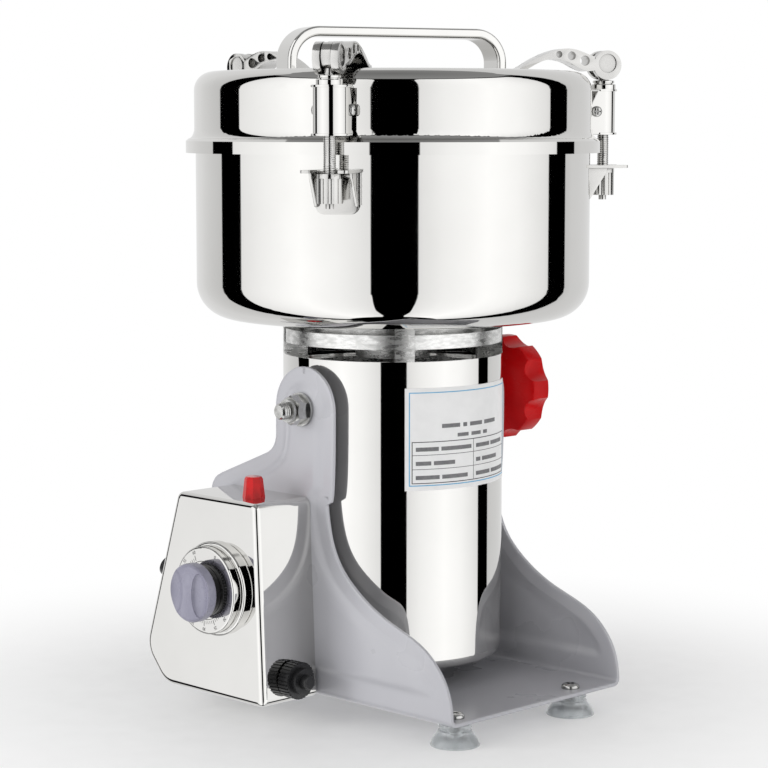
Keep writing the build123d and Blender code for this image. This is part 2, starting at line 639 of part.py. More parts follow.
# ---- lid ----
def make_lid():
    r, wall, edge = LID_R, LID_WALL, LID_EDGE
    low, step = SKIRT_Z
    outer = FilletPolyline((0, LID_TOP), (r, LID_TOP), (r, step + 5), radius=edge)
    flare = Spline((r, step + 5), (r + 0.9, step + 1.6), (SKIRT_R - 1.4, step),
                   tangents=[(0, -1), (1, -0.15)])
    skirt = Polyline((SKIRT_R - 1.4, step), (SKIRT_R, step - 1.2), (SKIRT_R, low),
                     (SKIRT_R - wall, low), (SKIRT_R - wall, step - wall - 0.2),
                     (r - wall, step - wall - 0.2))
    inner = FilletPolyline((r - wall, step - wall - 0.2), (r - wall, LID_TOP - wall),
                           (0, LID_TOP - wall), radius=edge - wall)
    axis = Line((0, LID_TOP - wall), (0, LID_TOP))
    body = turned(make_face([outer, flare, skirt, inner, axis]))
    for side in (-1, 1):
        hole = Pos(side * (HANDLE_L / 2 - HANDLE_T / 2), 0, 0) * disc(2.5, LID_TOP - 3, LID_TOP + 1)
        body -= Rot(0, 0, HANDLE_TURN) * hole
    save("lid_shell", body)
    gasket = tube(SKIRT_R - wall - 0.3, r - wall, RIM_Z + SEAT, step - wall - 0.2)
    save("lid_gasket", gasket)

    lugs = []
    for turn in CLAMP_TURNS:
        lug = block((LID_R - 0.6, HINGE_R), (-6.9, 6.9), (HINGE_Z - 3.3, HINGE_Z + 3.3))
        lug += bar_y(3.3, (-6.9, 6.9), HINGE_R, HINGE_Z)
        lug -= bar_y(1.5 + RUN, (-8, 8), HINGE_R, HINGE_Z)
        lug -= disc(LID_R, HINGE_Z - 5, HINGE_Z + 5)
        lugs.append(at_clamp(lug, turn))
    save("clamp_lugs", *lugs)


def make_handle():
    half, thick, top = HANDLE_L / 2, HANDLE_T, HANDLE_TOP
    low = LID_TOP
    outer = FilletPolyline((-half, low), (-half, top), (half, top), (half, low), radius=HANDLE_CORNER)
    inner = FilletPolyline((half - thick, low), (half - thick, top - thick), (-half + thick, top - thick),
                           (-half + thick, low), radius=HANDLE_CORNER - thick)
    ends = [Line(outer @ 1, inner @ 0), Line(inner @ 1, outer @ 0)]
    strap = extrude(Plane.XZ * make_face([outer, inner] + ends), HANDLE_W / 2, both=True)
    strap = fillet([e for e in strap.edges() if abs(e.center().Y) > HANDLE_W / 2 - 0.01
                    and e.center().Z > low + 0.1], 1.6)
    strap = Pos(0, 0, Z0) * strap
    screws = []
    for side in (-1, 1):
        at = Pos(side * (half - thick / 2), 0, 0)
        strap -= at * disc(1.5, low - 1, low + 10)
        screws.append(at * (disc(1.5, low - 1.2, low + 10) + disc(4, low - 3.7, low - 1.2)))
    turn = Rot(0, 0, HANDLE_TURN)
    save("lid_handle", turn * strap)
    save("handle_screws", *[turn * s for s in screws])


# ---- clamps, drawn outward along +X and then turned into place ----
def make_ears():
    ears = []
    for turn in CLAMP_TURNS:
        low = EAR_Z - EAR_H
        plate = block((BOWL_R - 4, EAR_OUT), (-EAR_W / 2, EAR_W / 2), (EAR_Z - EAR_T, EAR_Z))
        slot_w = NUT_R + 0.6
        plate -= block((ROD_AT - slot_w, EAR_OUT + 1), (-slot_w, slot_w), (EAR_Z - 5, EAR_Z + 5))
        back = block((BOWL_R - 4, BOWL_R + EAR_T), (-EAR_W / 2 + 1, EAR_W / 2 - 1), (low, EAR_Z))
        ear = plate + back
        for side in (-1, 1):
            y = sorted((side * (EAR_W / 2 - 1), side * (EAR_W / 2 - 1 - EAR_T)))
            cheek = make_face(Polyline((BOWL_R - 4, low), (BOWL_R + 3, low), (EAR_OUT - 5, EAR_Z - 7),
                                       (EAR_OUT - 5, EAR_Z - 1), (BOWL_R - 4, EAR_Z - 1), close=True))
            ear += Pos(0, y[1], Z0) * extrude(Plane.XZ * cheek, y[1] - y[0])
        ear -= disc(BOWL_R, low - 1, EAR_Z + 1)
        ears.append(at_clamp(ear, turn))
    save("clamp_ears", *ears)


def clamp_housing():
    """A channel round the rod: two cheeks, an outer web, and a flange at each end."""
    low, high = HOUSING_Z
    half, wall, out = HOUSING_W / 2, HOUSING_WALL, HOUSING_OUT
    side = make_face(Polyline((HINGE_R - 2.0, low), (HINGE_R - 3.4, HINGE_Z - 4), (HINGE_R - 3.4, HINGE_Z + 1),
                              (HINGE_R + 1.6, high), (out, high), (out, low), close=True))
    shell = Pos(0, half, Z0) * extrude(Plane.XZ * side, 2 * half)
    web_corners = [e for e in shell.edges().filter_by(Axis.Z) if e.center().X > out - 1]
    shell = fillet(web_corners, 3.0)
    inside = block((HINGE_R - 5, out - wall), (-half + wall, half - wall), (low + wall, high - wall))
    shell -= inside
    for z in ((low, low + wall), (high - wall, high)):
        shell += block((HINGE_R + 1.8, out + 1.2), (-half - 1.0, half + 1.0), z)
    shell -= block((HINGE_R - 5, HINGE_R + 1.7), (-half + wall, half - wall), (low - 1, high + 1))
    shell -= Pos(ROD_AT, 0, 0) * disc(ROD_R + SLIP, low - 1, high + 1)
    shell -= bar_y(1.5, (-half - 1, half + 1), HINGE_R, HINGE_Z)

    top = SADDLE_TOP
    collar = block((ROD_AT - 6, ROD_AT + 6), (-6.4, 6.4), (high, top - 1.6))
    saddle = block((ROD_AT - 5.6, ROD_AT + 5.6), (-6.0, 6.0), (top - 1.6, top))
    bore = Pos(ROD_AT, 0, 0) * disc(ROD_R + SLIP, high - 1, top + 1)
    screws = []
    for s in (-1, 1):
        face = half if s > 0 else -half
        shank = sorted((s * 2.0, face))
        head = sorted((face, face + s * 2.0))
        screw = bar_y(1.5, shank, HINGE_R, HINGE_Z) + bar_y(2.8, head, HINGE_R, HINGE_Z)
        cross = Pos(HINGE_R, face + s * 2.0, Z0 + HINGE_Z) * (Box(3.4, 1.6, 0.8) + Box(0.8, 1.6, 3.4))
        screws.append(screw - cross)
    return shell, collar - bore, saddle - bore, screws


def clamp_rod():
    head = bar_y(PIN_R + 1.5, (-HEAD_HALF, HEAD_HALF), ROD_AT, PIN_Z)
    rod = Pos(ROD_AT, 0, 0) * disc(ROD_R, NUT_Z[0], SADDLE_TOP)
    tip = Pos(ROD_AT, 0, 0) * disc(2.0, NUT_Z[0] - 2.4, NUT_Z[0])
    flat = block((ROD_AT - ROD_R, ROD_AT + ROD_R), (-HEAD_HALF, HEAD_HALF), (SADDLE_TOP, PIN_Z))
    rod += Pos(ROD_AT, 0, 0) * disc(ROD_R, SADDLE_TOP, PIN_Z - 3) & flat
    body = head + rod + tip
    return body - bar_y(PIN_R, (-10, 10), ROD_AT, PIN_Z)


def clamp_nut():
    low, high = NUT_Z
    nut = disc(NUT_R, low, high)
    for n in range(8):
        flute = Pos(NUT_R + 0.9, 0, 0) * disc(1.7, low - 1, high - 2.2)
        nut -= Rot(0, 0, 45 * n + 22.5) * flute
    nut = Pos(ROD_AT, 0, 0) * (nut - disc(ROD_R, low - 1, high + 1))
    return nut


def clamp_lever():
    """An eccentric fork on the pin, with an arched handle that lies over the lid."""
    width = FORK_GAP + 2 * EYE_T
    upper = [(-7.0, 3.4), (-10.5, 4.6), (-16, 6.6), (-22, 7.4), (-29, 6.2), (-36, 3.4),
             (-42, 0.2), (-46.5, -2.4), (LEVER_TIP, -3.2)]
    lower = [(LEVER_TIP, -4.5), (-46, -4.4), (-41.5, -2.2), (-36.5, 0.4), (-31.5, 1.8), (-26, 1.7),
             (-21, 0.4), (-16.5, -1.9), (-13, -3.4), (-7.0, -3.6)]
    handle = make_face([Spline(*upper), Line(upper[-1], lower[0]), Spline(*lower),
                        Line(lower[-1], upper[0])])
    for along, up, radius in ((-12.4, 1.3, 2.6), (-19.6, 3.7, 2.2), (-26.4, 4.4, 1.7)):
        handle -= Pos(along, up) * Circle(radius)
    eye = Pos(0, -CAM_OFFSET) * Circle(EYE_R)
    profile = eye + handle - Circle(PIN_R + RUN)
    body = extrude(Plane.XZ * profile, width / 2, both=True)
    gap = Box(2 * 9.6, FORK_GAP, 40)
    body -= gap
    return Pos(ROD_AT, 0, Z0 + PIN_Z) * body


def make_clamps():
    shell, collar, saddle, screws = clamp_housing()
    rod, nut, lever = clamp_rod(), clamp_nut(), clamp_lever()
    half = FORK_GAP / 2 + EYE_T - 0.8
    pin = bar_y(PIN_R, (-half, half), ROD_AT, PIN_Z)
    for number, turn in enumerate(CLAMP_TURNS, 1):
        group = [at_clamp(s, turn) for s in (shell, collar, saddle, *screws)]
        save(f"clamp_housing_{number}", *group)
        save(f"clamp_rod_{number}", at_clamp(rod, turn), at_clamp(pin, turn))
        save(f"clamp_nut_{number}", at_clamp(nut, turn))
        save(f"clamp_lever_{number}", at_clamp(lever, turn))


make_cradle()
make_feet()
make_control_box()
make_timer()
make_reset()
make_gland()
make_pivots()
make_lock_knob()
make_barrel()
make_stator()
make_rotor()
make_bearings()
make_neck()
make_bowl()
make_blades()
make_nameplate()
make_lid()
make_handle()
make_ears()
make_clamps()
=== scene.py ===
import math

import bmesh
import bpy
import numpy as np
from mathutils import Matrix, Vector
from mathutils.bvhtree import BVHTree


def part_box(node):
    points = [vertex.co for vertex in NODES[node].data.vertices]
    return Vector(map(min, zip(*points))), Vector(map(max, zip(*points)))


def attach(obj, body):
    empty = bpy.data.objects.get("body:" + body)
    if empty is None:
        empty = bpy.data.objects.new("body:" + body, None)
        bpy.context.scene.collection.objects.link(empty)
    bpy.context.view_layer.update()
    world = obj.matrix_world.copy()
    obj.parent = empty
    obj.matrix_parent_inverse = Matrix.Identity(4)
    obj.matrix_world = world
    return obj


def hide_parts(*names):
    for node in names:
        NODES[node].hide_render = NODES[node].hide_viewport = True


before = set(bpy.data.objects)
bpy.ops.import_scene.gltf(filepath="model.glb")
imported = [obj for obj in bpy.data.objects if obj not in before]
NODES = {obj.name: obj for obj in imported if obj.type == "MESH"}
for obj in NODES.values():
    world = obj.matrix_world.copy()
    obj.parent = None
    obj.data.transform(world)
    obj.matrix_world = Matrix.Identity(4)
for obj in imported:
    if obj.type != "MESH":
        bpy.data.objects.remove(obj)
bpy.context.view_layer.update()
MM = 0.001


def middle(node):
    low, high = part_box(node)
    return (low + high) / 2


AXIS = middle("motor_barrel").xy
FLOOR_TO_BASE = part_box("cradle")[0].z


# ---- camera: the photograph's height, turn and lens ----
CAMERA_TURN = 0.782
CAMERA_PITCH = 0.111
CAMERA_AWAY = 1.1861
CAMERA_UP = 0.2829
CAMERA_SIDE = 0.0045
IMAGE_WIDTH = 768
FOCAL_LENGTH = 2330.8    # in widths of a pixel
SENSOR = 36
LENS = FOCAL_LENGTH / IMAGE_WIDTH * SENSOR


def add_camera():
    ahead = Vector((math.sin(CAMERA_TURN), math.cos(CAMERA_TURN), 0))
    right = Vector((math.cos(CAMERA_TURN), -math.sin(CAMERA_TURN), 0))
    place = Vector((AXIS.x, AXIS.y, FLOOR_TO_BASE + CAMERA_UP))
    place += -ahead * CAMERA_AWAY - right * CAMERA_SIDE
    aim = ahead * math.cos(CAMERA_PITCH) - Vector((0, 0, math.sin(CAMERA_PITCH)))
    data = bpy.data.cameras.new("camera")
    data.lens, data.sensor_width = LENS, SENSOR
    data.clip_start, data.clip_end = 0.05, 50
    camera = bpy.data.objects.new("camera", data)
    camera.location = place
    camera.rotation_mode = "QUATERNION"
    camera.rotation_quaternion = aim.to_track_quat("-Z", "Y")
    bpy.context.scene.collection.objects.link(camera)
    bpy.context.scene.camera = camera


# ---- node helpers ----
def value(tree, operation, *inputs, clamp=False):
    node = tree.nodes.new("ShaderNodeMath")
    node.operation = operation
    node.use_clamp = clamp
    for place, source in enumerate(inputs):
        if isinstance(source, (int, float)):
            node.inputs[place].default_value = source
        else:
            tree.links.new(source, node.inputs[place])
    return node.outputs[0]


def ramp(tree, source, stops, mode="LINEAR"):
    node = tree.nodes.new("ShaderNodeValToRGB")
    node.color_ramp.interpolation = mode
    elements = node.color_ramp.elements
    while len(elements) > 1:
        elements.remove(elements[-1])
    for number, (place, colour) in enumerate(stops):
        if isinstance(colour, (int, float)):
            colour = (colour, colour, colour)
        element = elements[0] if number == 0 else elements.new(place)
        element.position = place
        element.color = (*colour, 1)
    tree.links.new(source, node.inputs[0])
    return node.outputs[0]


def mix(tree, share, first, second):
    node = tree.nodes.new("ShaderNodeMix")
    node.data_type = "RGBA"
    for place, source in ((0, share), (6, first), (7, second)):
        if isinstance(source, (int, float)):
            node.inputs[place].default_value = source
        elif isinstance(source, tuple):
            node.inputs[place].default_value = (*source, 1)
        else:
            tree.links.new(source, node.inputs[place])
    return node.outputs[2]


# ---- studio: soft boxes either side of the camera with dark gaps between them ----
SOFT_BOXES = (    # centre, half width, low, high and corner, in degrees
    (-55.3, 42.9, -77, 50, 7),
    (57.4, 43.5, -77, 50, 7),
    (180.5, 63.0, -77, 58, 8),
)
SOFT_BOX_EDGE = 1.6
BOX_GLOW = [    # share of the way round, 0.5 towards the camera, and brightness
    (0.0, 0.84), (0.09, 0.90), (0.16, 0.80), (0.2, 0.72), (0.23, 1.14), (0.28, 1.30),
    (0.35, 1.50), (0.41, 1.34), (0.46, 1.12), (0.54, 1.10), (0.58, 1.30), (0.653, 1.50),
    (0.71, 1.38), (0.77, 1.12), (0.81, 0.72), (0.85, 0.84), (1.0, 0.84),
]
CEILING_GLOW = [(0.0, 0.0), (0.575, 0.0), (0.60, 0.34), (1.0, 0.22)]    # share of the way up


def soft_box(tree, turn, height, centre, half_width, low, high, corner):
    """1 inside a rounded rectangle of sky, in degrees, and 0 outside."""
    across = value(tree, "SUBTRACT", turn, centre)
    across = value(tree, "WRAP", across, 180, -180)
    across = value(tree, "SUBTRACT", value(tree, "ABSOLUTE", across), half_width - corner)
    across = value(tree, "MAXIMUM", across, 0.0)
    up = value(tree, "SUBTRACT", height, (low + high) / 2)
    up = value(tree, "SUBTRACT", value(tree, "ABSOLUTE", up), (high - low) / 2 - corner)
    up = value(tree, "MAXIMUM", up, 0.0)
    squares = value(tree, "ADD", value(tree, "MULTIPLY", across, across),
                    value(tree, "MULTIPLY", up, up))
    inside = value(tree, "SUBTRACT", corner, value(tree, "SQRT", squares))
    return value(tree, "MULTIPLY", inside, SOFT_BOX_EDGE, clamp=True)


def add_studio():
    world = bpy.data.worlds.new("studio")
    world.use_nodes = True
    tree = world.node_tree
    tree.nodes.clear()
    place = tree.nodes.new("ShaderNodeTexCoord").outputs["Generated"]
    split = tree.nodes.new("ShaderNodeSeparateXYZ")
    tree.links.new(place, split.inputs[0])
    x, y, z = split.outputs
    # turn is 0 towards the camera and grows to its right
    turn = value(tree, "ARCTAN2", y, x)
    turn = value(tree, "MULTIPLY", turn, 180 / math.pi)
    toward = math.degrees(math.atan2(-math.cos(CAMERA_TURN), -math.sin(CAMERA_TURN)))
    turn = value(tree, "WRAP", value(tree, "SUBTRACT", turn, toward), 180, -180)
    height = value(tree, "MULTIPLY", value(tree, "ARCSINE", z), 180 / math.pi)
    left, right, back = [soft_box(tree, turn, height, *box) for box in SOFT_BOXES]
    share = value(tree, "ADD", value(tree, "DIVIDE", turn, 360), 0.5)
    glow = ramp(tree, share, BOX_GLOW)
    ceiling = ramp(tree, value(tree, "DIVIDE", height, 90), CEILING_GLOW)
    lit = value(tree, "MAXIMUM", value(tree, "MAXIMUM", left, right), back)
    # the camera itself sees plain white behind the object
    seen = tree.nodes.new("ShaderNodeBackground")
    seen.inputs[0].default_value = (1, 1, 1, 1)
    seen.inputs[1].default_value = 1.0
    around = tree.nodes.new("ShaderNodeBackground")
    tree.links.new(mix(tree, lit, ceiling, glow), around.inputs[0])
    both = tree.nodes.new("ShaderNodeMixShader")
    path = tree.nodes.new("ShaderNodeLightPath")
    tree.links.new(path.outputs["Is Camera Ray"], both.inputs[0])
    tree.links.new(around.outputs[0], both.inputs[1])
    tree.links.new(seen.outputs[0], both.inputs[2])
    tree.links.new(both.outputs[0], tree.nodes.new("ShaderNodeOutputWorld").inputs[0])
    bpy.context.scene.world = world
    bpy.context.scene.view_settings.view_transform = "Standard"


def add_light(name, place, target, size, power):
    data = bpy.data.lights.new(name, "AREA")
    data.shape, data.size, data.energy = "SQUARE", size, power
    light = bpy.data.objects.new(name, data)
    light.location = place
    light.rotation_mode = "QUATERNION"
    light.rotation_quaternion = (Vector(target) - Vector(place)).to_track_quat("-Z", "Y")
    light.visible_glossy = False
    bpy.context.scene.collection.objects.link(light)


FLOOR_R = 0.62
FLOOR_RINGS = 24
FLOOR_SIDES = 96
FLOOR_PALE = [(0.3, 0.86), (0.7, 0.90)]
FLOOR_GLOW = [(0.10, 0.25), (0.58, 1.0)]    # share of its radius, and share of glow


def add_floor():
    """A pale round table top that grows as bright as the backdrop towards its edge."""
    work = bmesh.new()
    rows = []
    for ring in range(1, FLOOR_RINGS + 1):
        radius = FLOOR_R * ring / FLOOR_RINGS
        turns = [2 * math.pi * n / FLOOR_SIDES for n in range(FLOOR_SIDES)]
        rows.append([work.verts.new((radius * math.cos(turn), radius * math.sin(turn), 0))
                     for turn in turns])
    hub = work.verts.new((0, 0, 0))
    for n in range(FLOOR_SIDES):
        after = (n + 1) % FLOOR_SIDES
        work.faces.new((hub, rows[0][n], rows[0][after]))
        for low, high in zip(rows, rows[1:]):
            work.faces.new((low[n], high[n], high[after], low[after]))
    mesh = bpy.data.meshes.new("floor")
    work.to_mesh(mesh)
    work.free()
    floor = bpy.data.objects.new("floor", mesh)
    bpy.context.scene.collection.objects.link(floor)
    material = bpy.data.materials.new("floor_white")
    material.use_nodes = True
    tree = material.node_tree
    shader = tree.nodes["Principled BSDF"]
    shader.inputs["Roughness"].default_value = 0.55
    place = tree.nodes.new("ShaderNodeTexCoord").outputs["Object"]
    grain = tree.nodes.new("ShaderNodeTexNoise")
    grain.inputs["Scale"].default_value = 60
    tree.links.new(place, grain.inputs["Vector"])
    tree.links.new(ramp(tree, grain.outputs["Fac"], FLOOR_PALE), shader.inputs["Base Color"])
    span = tree.nodes.new("ShaderNodeVectorMath")
    span.operation = "LENGTH"
    tree.links.new(place, span.inputs[0])
    share = ramp(tree, value(tree, "DIVIDE", span.outputs["Value"], FLOOR_R), FLOOR_GLOW, "EASE")
    glow = tree.nodes.new("ShaderNodeEmission")
    glow.inputs[0].default_value = (1, 1, 1, 1)
    both = tree.nodes.new("ShaderNodeMixShader")
    tree.links.new(share, both.inputs[0])
    tree.links.new(shader.outputs[0], both.inputs[1])
    tree.links.new(glow.outputs[0], both.inputs[2])
    tree.links.new(both.outputs[0], tree.nodes["Material Output"].inputs[0])
    mesh.materials.append(material)
    floor.visible_glossy = False


# ---- materials ----
DRIFT_DARK = 0.35    # the noise's height where a surface is darkest
DRIFT_LIGHT = 0.65
# how dark the shade painted into corners is, as a share of the dark colour
PAINTED_SHADE_SHARE = 0.3


def surface(name, light, dark, rough, metallic=0.0, *, grain, stretch=(1, 1, 1),
            bump=0.0, bump_grain=400.0, depth=0.0002, shade_reach=0.0, **sockets):
    """A material whose colour and gloss drift over the surface, with a fine relief.

    rough is its roughness at light and at dark places, and shade_reach is how far the
    shade painted into its corners reaches, in metres."""
    material = bpy.data.materials.new(name)
    material.use_nodes = True
    tree = material.node_tree
    shader = tree.nodes["Principled BSDF"]
    shader.inputs["Metallic"].default_value = metallic
    for socket, number in sockets.items():
        shader.inputs[socket.replace("_", " ")].default_value = number
    place = tree.nodes.new("ShaderNodeTexCoord").outputs["Object"]
    fit = tree.nodes.new("ShaderNodeMapping")
    fit.inputs["Scale"].default_value = stretch
    tree.links.new(place, fit.inputs["Vector"])
    drift = tree.nodes.new("ShaderNodeTexNoise")
    drift.inputs["Scale"].default_value = grain
    drift.inputs["Detail"].default_value = 6
    tree.links.new(fit.outputs[0], drift.inputs["Vector"])
    colour = ramp(tree, drift.outputs["Fac"], [(DRIFT_DARK, dark), (DRIFT_LIGHT, light)])
    # painted shade: ambient occlusion darkens the colour in corners and crevices, standing in for
    # shadow
    if shade_reach:
        corner = tree.nodes.new("ShaderNodeAmbientOcclusion")
        corner.samples = 6
        corner.inputs["Distance"].default_value = shade_reach
        painted_shade = tuple(PAINTED_SHADE_SHARE * part for part in dark)
        unshaded = ramp(tree, corner.outputs["AO"], [(0.05, 0.0), (0.95, 1.0)])
        colour = mix(tree, unshaded, painted_shade, colour)
    tree.links.new(colour, shader.inputs["Base Color"])
    gloss = ramp(tree, drift.outputs["Fac"], [(DRIFT_DARK, rough[1]), (DRIFT_LIGHT, rough[0])])
    tree.links.new(gloss, shader.inputs["Roughness"])
    if bump:
        relief = tree.nodes.new("ShaderNodeTexNoise")
        relief.inputs["Scale"].default_value = bump_grain
        relief.inputs["Detail"].default_value = 3
        tree.links.new(fit.outputs[0], relief.inputs["Vector"])
        tilt = tree.nodes.new("ShaderNodeBump")
        tilt.inputs["Strength"].default_value = bump
        tilt.inputs["Distance"].default_value = depth
        tree.links.new(relief.outputs["Fac"], tilt.inputs["Height"])
        tree.links.new(tilt.outputs[0], shader.inputs["Normal"])
    return material


# bright_steel, screw_steel and cast_aluminium get shade painted into their corners
MATERIALS = {
    "mirror_steel": surface("mirror_steel_look", (0.68, 0.675, 0.66), (0.655, 0.65, 0.635),
                            (0.02, 0.045), 1.0, grain=25, bump=0.05, bump_grain=14, depth=0.0006),
    "bright_steel": surface("bright_steel_look", (0.58, 0.575, 0.56), (0.53, 0.525, 0.515),
                            (0.09, 0.17), 1.0, grain=60, bump=0.02,
                            bump_grain=240, depth=0.0001, shade_reach=0.0025),
    "screw_steel": surface("screw_steel_look", (0.58, 0.58, 0.57), (0.44, 0.44, 0.43),
                           (0.14, 0.26), 1.0, grain=300, shade_reach=0.002),
    "cast_aluminium": surface("cast_aluminium_look", (0.74, 0.74, 0.73), (0.58, 0.58, 0.57),
                              (0.20, 0.36), 1.0, grain=220, stretch=(1, 1, 3), bump=0.3,
                              bump_grain=500, depth=0.0002, shade_reach=0.006),
    "cradle_paint": surface("cradle_paint_look", (0.47, 0.47, 0.50), (0.445, 0.445, 0.477),
                            (0.27, 0.31), grain=18, bump=0.03, bump_grain=900, depth=0.0001,
                            Coat_Weight=0.3, Coat_Roughness=0.18),
    "foot_pvc": surface("foot_pvc_look", (0.80, 0.83, 0.84), (0.74, 0.77, 0.785),
                        (0.16, 0.26), grain=120, bump=0.06, Transmission_Weight=0.72,
                        IOR=1.4),
    "black_plastic": surface("black_plastic_look", (0.014, 0.014, 0.015), (0.008, 0.008, 0.009),
                             (0.25, 0.38), grain=200, bump=0.12, bump_grain=900, depth=0.0001),
    "knob_grey": surface("knob_grey_look", (0.30, 0.295, 0.37), (0.235, 0.23, 0.30),
                         (0.22, 0.34), grain=80, bump=0.05, bump_grain=500, depth=0.0001),
    "red_plastic": surface("red_plastic_look", (0.56, 0.0025, 0.004), (0.47, 0.0015, 0.003),
                           (0.22, 0.34), grain=70, bump=0.06, bump_grain=350, depth=0.0002,
                           Specular_IOR_Level=0.14),
    "lamp_red": surface("lamp_red_look", (0.70, 0.006, 0.008), (0.50, 0.003, 0.004),
                        (0.06, 0.12), grain=200, Specular_IOR_Level=0.2,
                        Transmission_Weight=0.15),
    "label_film": surface("label_film_look", (0.80, 0.80, 0.80), (0.765, 0.765, 0.765),
                          (0.30, 0.42), grain=150),
    "copper_wire": surface("copper_wire_look", (0.80, 0.36, 0.17), (0.55, 0.20, 0.08),
                           (0.25, 0.4), 1.0, grain=300, stretch=(1, 1, 5)),
    "core_steel": surface("core_steel_look", (0.34, 0.34, 0.35), (0.20, 0.20, 0.21),
                          (0.35, 0.55), 1.0, grain=200, stretch=(0.2, 0.2, 14)),
    "carbon": surface("carbon_look", (0.05, 0.05, 0.052), (0.03, 0.03, 0.031),
                      (0.45, 0.6), grain=300),
    "brass": surface("brass_look", (0.80, 0.58, 0.25), (0.66, 0.45, 0.17), (0.2, 0.35), 1.0,
                     grain=200),
    "white_plastic": surface("white_plastic_look", (0.82, 0.82, 0.80), (0.76, 0.76, 0.74),
                             (0.3, 0.42), grain=120),
    "silicone": surface("silicone_look", (0.62, 0.61, 0.58), (0.54, 0.53, 0.50),
                        (0.4, 0.55), grain=150),
}
INK = surface("ink_look", (0.06, 0.06, 0.062), (0.035, 0.035, 0.037), (0.4, 0.55), grain=500)
GREY_INK = surface("grey_ink_look", (0.17, 0.17, 0.175), (0.13, 0.13, 0.135), (0.4, 0.55),
                   grain=500)
BLUE_INK = surface("blue_ink_look", (0.15, 0.42, 0.66), (0.11, 0.36, 0.58), (0.4, 0.55),
                   grain=500)


def dress_nodes():
    """Each CAD node gets the look of the record's slot that it names."""
    for node in NODES.values():
        for place in node.material_slots:
            name = place.material.name.split(".")[0]
            place.material = MATERIALS[name]


# ---- drawing helpers; pieces are drawn in millimetres in the frame's own place ----
ARC_STEPS = 6        # in a rounded corner
THREAD_DEPTH = 0.3
THREAD_SIDES = 6     # points round a thread's ridge
THREAD_STEPS = 20    # in one turn of a thread


def box_mm(node):
    low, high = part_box(node)
    return low / MM, high / MM


def middle_mm(node):
    return middle(node) / MM


def piece(name, work, body, slot, look=None, replaces=None, sharp=35):
    """Makes a drawn shape a piece of the model, smooth but for its sharp edges."""
    bmesh.ops.recalc_face_normals(work, faces=work.faces)
    for face in work.faces:
        face.smooth = True
    for edge in work.edges:
        edge.smooth = edge.calc_face_angle(0) < math.radians(sharp)
    work.transform(Matrix.Scale(MM, 4))
    mesh = bpy.data.meshes.new(name)
    work.to_mesh(mesh)
    work.free()
    made = bpy.data.objects.new(name, mesh)
    bpy.context.scene.collection.objects.link(made)
    mesh.materials.append(look or MATERIALS[slot])
    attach(made, body)
    if replaces:
        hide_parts(replaces)


def join(work, part):
    """Adds one drawn shape to another."""
    mesh = bpy.data.meshes.new("scratch")
    part.to_mesh(mesh)
    part.free()
    work.from_mesh(mesh)
    bpy.data.meshes.remove(mesh)


def cut_away(work, cutter):
    """One drawn shape without the space of another."""
    pair = []
    for shape in (work, cutter):
        bmesh.ops.recalc_face_normals(shape, faces=shape.faces)
        mesh = bpy.data.meshes.new("scratch")
        shape.to_mesh(mesh)
        shape.free()
        pair.append(bpy.data.objects.new("scratch", mesh))
        bpy.context.scene.collection.objects.link(pair[-1])
    knife = pair[0].modifiers.new("cut", "BOOLEAN")
    knife.object, knife.operation, knife.solver = pair[1], "DIFFERENCE", "EXACT"
    result = bmesh.new()
    result.from_object(pair[0], bpy.context.evaluated_depsgraph_get())
    for made in pair:
        mesh = made.data
        bpy.data.objects.remove(made)
        bpy.data.meshes.remove(mesh)
    return result


def add_rings(work, rings, looped=False):
    """Joins rings of points into a skin, closed at both ends or back on itself."""
    rows = [[work.verts.new(point) for point in ring] for ring in rings]
    pairs = list(zip(rows, rows[1:])) + ([(rows[-1], rows[0])] if looped else [])
    for low, high in pairs:
        for n in range(len(low)):
            after = (n + 1) % len(low)
            work.faces.new((low[n], low[after], high[after], high[n]))
    if not looped:
        work.faces.new(rows[0][::-1])
        work.faces.new(rows[-1])


def add_turned(work, profile, place, sides=48, hollow=False):
    """Turns (radius, height) points about local Z; a hollow profile is a closed loop."""
    def ring(radius, up):
        return [place @ Vector((radius * math.cos(2 * math.pi * n / sides),
                                radius * math.sin(2 * math.pi * n / sides), up))
                for n in range(sides)]
    add_rings(work, [ring(*point) for point in profile], hollow)


def rounded(corners):
    """An outline through (x, y, radius) corners, each rounded by its own arc."""
    outline = []
    for n, (x, y, radius) in enumerate(corners):
        here = Vector((x, y))
        before = (Vector(corners[n - 1][:2]) - here).normalized()
        after = (Vector(corners[(n + 1) % len(corners)][:2]) - here).normalized()
        if not radius:
            outline.append(here)
            continue
        half = before.angle(after) / 2
        hub = here + (before + after).normalized() * radius / math.sin(half)
        start = here + before * radius / math.tan(half) - hub
        end = here + after * radius / math.tan(half) - hub
        sweep = start.angle_signed(end)
        for step in range(ARC_STEPS + 1):
            turn = Matrix.Rotation(-sweep * step / ARC_STEPS, 2)
            outline.append(hub + turn @ start)
    return outline


def add_prism(work, outline, depth, place, edge=0.0):
    """An outline thickened along local Z, with its rims eased."""
    part = bmesh.new()
    face = part.faces.new([part.verts.new((point[0], point[1], 0)) for point in outline])
    made = bmesh.ops.extrude_face_region(part, geom=[face])["geom"]
    top = [item for item in made if isinstance(item, bmesh.types.BMVert)]
    bmesh.ops.translate(part, vec=(0, 0, depth), verts=top)
    if edge:
        rims = [e for e in part.edges if abs(e.verts[0].co.z - e.verts[1].co.z) < 0.001]
        bmesh.ops.bevel(part, geom=rims, offset=edge, segments=2, profile=0.5, affect="EDGES")
    part.transform(place)
    join(work, part)


